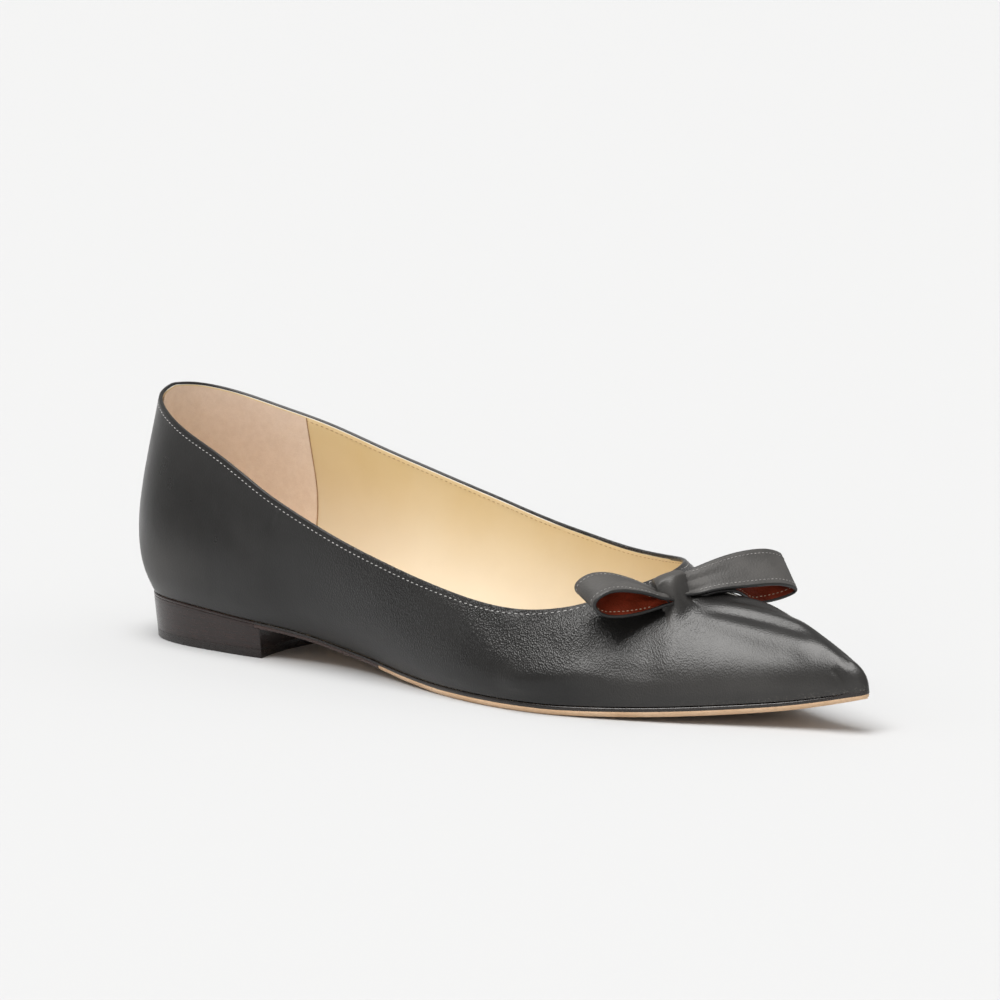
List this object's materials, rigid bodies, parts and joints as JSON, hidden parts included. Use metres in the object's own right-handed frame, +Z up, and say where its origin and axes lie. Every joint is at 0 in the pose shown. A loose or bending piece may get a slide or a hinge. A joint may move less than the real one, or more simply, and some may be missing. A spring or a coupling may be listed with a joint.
{
  "type": "ballerina flat",
  "caption": "Low women's flat with a sharply pointed toe, a deep open collar, a leather bow at the throat and a very low stacked heel.",
  "frame": {"origin": "middle of the heel's flat bottom face, on the floor", "axes": "+X towards the toe, +Y towards the wearer's left (the medial side), +Z up"},
  "size_m": [0.2691, 0.0759, 0.0755],
  "materials": {
    "black_nappa": "soft sheen, fine grain",
    "sole_leather": "satin",
    "stacked_heel": "gloss",
    "top_piece": "satin",
    "cream_lining": "matt"
  },
  "bodies": {
    "root": {"upper": "black_nappa", "outsole": "sole_leather", "insole": "cream_lining", "heel": "stacked_heel", "heel_lift": "top_piece", "bow_loop_lateral": "black_nappa", "bow_loop_medial": "black_nappa", "bow_band": "black_nappa"}
  },
  "joints": []
}
